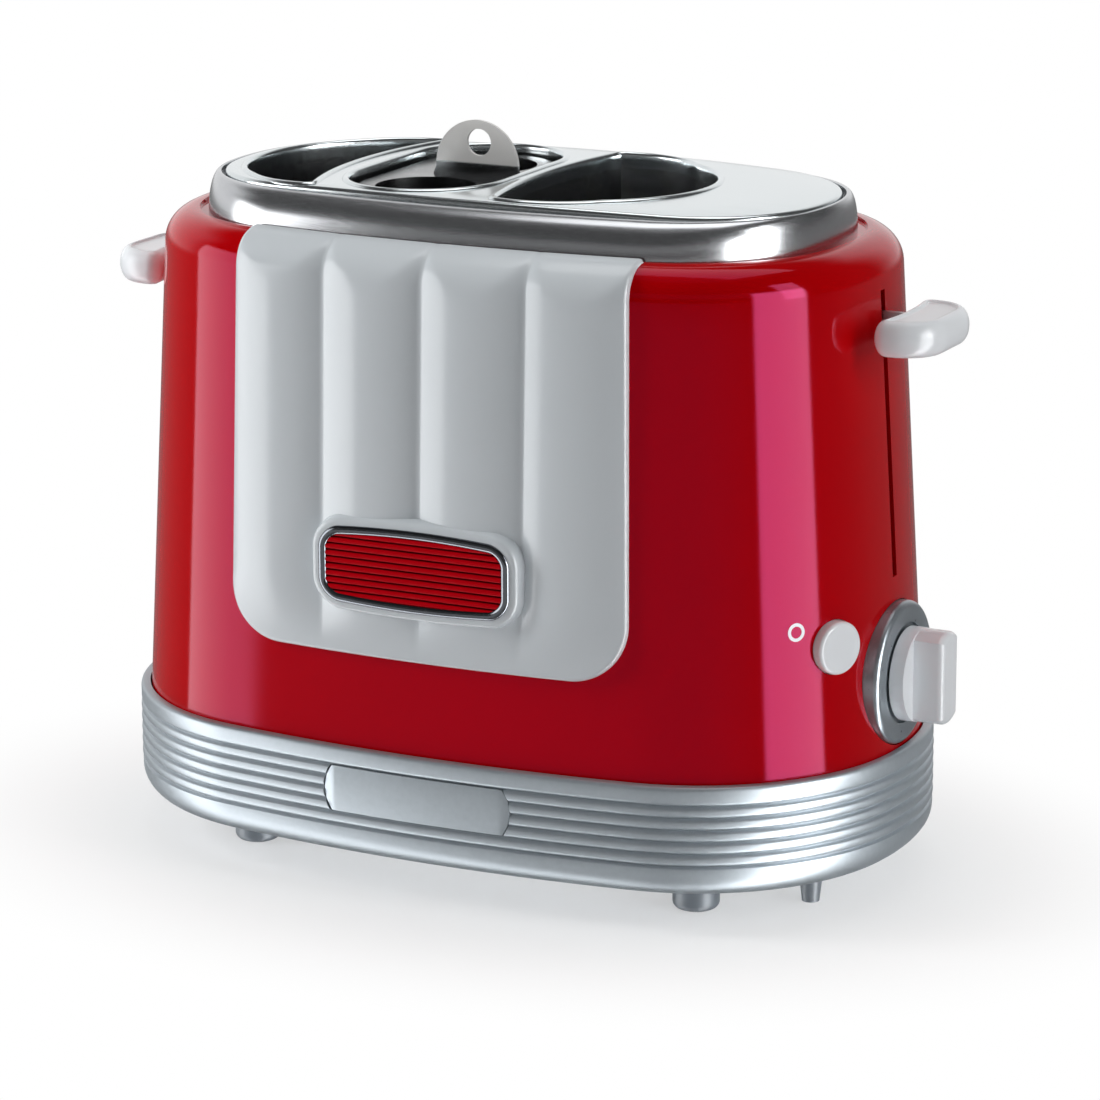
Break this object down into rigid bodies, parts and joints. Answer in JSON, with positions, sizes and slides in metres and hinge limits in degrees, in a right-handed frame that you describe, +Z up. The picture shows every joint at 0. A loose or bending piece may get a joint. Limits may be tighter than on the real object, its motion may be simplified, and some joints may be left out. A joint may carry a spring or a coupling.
{
  "type": "hot dog toaster",
  "caption": "Oval retro hot dog toaster with bun slots, lift-out sausage basket, end levers, timer knob, stop button and crumb tray",
  "frame": {"origin": "on the worktop, under the middle of the body", "axes": "+X towards the timer knob end, -Y to the front with the badge, +Z up"},
  "size_m": [0.314, 0.175, 0.253],
  "materials": {
    "body_red": "glossy red lacquered plastic",
    "panel_white": "glossy cool white plastic",
    "chrome": "bright chrome plating",
    "badge_red": "glossy ridged red",
    "skirt_silver": "satin silver paint on plastic",
    "foot_grey": "matt grey",
    "polished_steel": "finely brushed, polished on edges",
    "basket_steel": "satin stainless steel",
    "handle_white": "glossy white",
    "sheet_steel": "zinc-plated sheet",
    "plain_steel": "bright steel",
    "bush_brass": "turned brass",
    "mica": "pale brown mica sheet",
    "heat_ribbon": "dull nickel-chrome ribbon",
    "board_green": "green laminate",
    "coil_copper": "enamelled copper winding",
    "dark_plastic": "black moulded plastic"
  },
  "bodies": {
    "carriage": {"carriage_right": "sheet_steel", "carriage_left": "sheet_steel", "carriage_bushes": "bush_brass", "armature_plate": "sheet_steel", "lift_beams": "sheet_steel", "lever_right": "handle_white", "lever_left": "handle_white", "bun_rack_left": "basket_steel", "bun_rack_right": "basket_steel", "sausage_platform": "basket_steel"},
    "sausage_basket": {"basket_top": "basket_steel", "basket_cage_front": "basket_steel", "basket_cage_rear": "basket_steel"},
    "timer": {"timer_knob": "handle_white", "timer_shaft": "plain_steel"},
    "stop": {"stop_button": "handle_white"},
    "tray": {"crumb_tray": "basket_steel", "tray_front": "skirt_silver"},
    "housing": {"outer_shell": "body_red", "front_panel": "panel_white", "rear_panel": "panel_white", "badge_bezel": "chrome", "badge_insert": "badge_red", "base_skirt": "skirt_silver", "nameplate": "skirt_silver", "base_plate": "sheet_steel", "base_screws": "plain_steel", "foot_front_left": "foot_grey", "foot_front_right": "foot_grey", "foot_rear_left": "foot_grey", "foot_rear_right": "foot_grey", "cord_pegs": "foot_grey", "cord_gland": "foot_grey", "collar_ring": "polished_steel", "top_plate": "polished_steel", "opening_liners": "polished_steel", "dial_ring": "skirt_silver", "timer_body": "dark_plastic", "button_spring": "plain_steel", "control_bracket": "dark_plastic", "reflector_wall": "sheet_steel", "mechanism_frame": "sheet_steel", "end_frame": "sheet_steel", "guide_rod_right": "plain_steel", "guide_rod_left": "plain_steel", "return_spring_right": "plain_steel", "return_spring_left": "plain_steel", "heater_board_left_outer": "mica", "heater_board_left_inner": "mica", "heater_board_right_inner": "mica", "heater_board_right_outer": "mica", "heater_windings_left": "heat_ribbon", "heater_windings_right": "heat_ribbon", "bun_guard_left": "basket_steel", "bun_guard_right": "basket_steel", "magnet_core": "plain_steel", "magnet_coil": "coil_copper", "circuit_board": "board_green", "main_switch": "dark_plastic", "terminal_block": "dark_plastic"}
  },
  "joints": [
    {"name": "carriage_slide", "type": "slide", "parent": "housing", "child": "carriage", "axis": [0, 0, -1], "range_m": [0, 0.076], "stiffness_N_per_m": 140, "springref_m": -0.07, "deforming": ["return_spring_right", "return_spring_left"]},
    {"name": "basket_lift", "type": "slide", "parent": "carriage", "child": "sausage_basket", "axis": [0, 0, 1], "range_m": [0, 0.11]},
    {"name": "timer_turn", "type": "hinge", "parent": "housing", "child": "timer", "pos_m": [0.141, 0, 0.077], "axis": [1, 0, 0], "range_deg": [-135, 135]},
    {"name": "stop_push", "type": "slide", "parent": "housing", "child": "stop", "axis": [-0.907, 0.4211, 0], "range_m": [0, 0.0025], "stiffness_N_per_m": 600, "springref_m": -0.003, "deforming": ["button_spring"]},
    {"name": "tray_pull", "type": "slide", "parent": "housing", "child": "tray", "axis": [0, 1, 0], "range_m": [0, 0.11]}
  ]
}
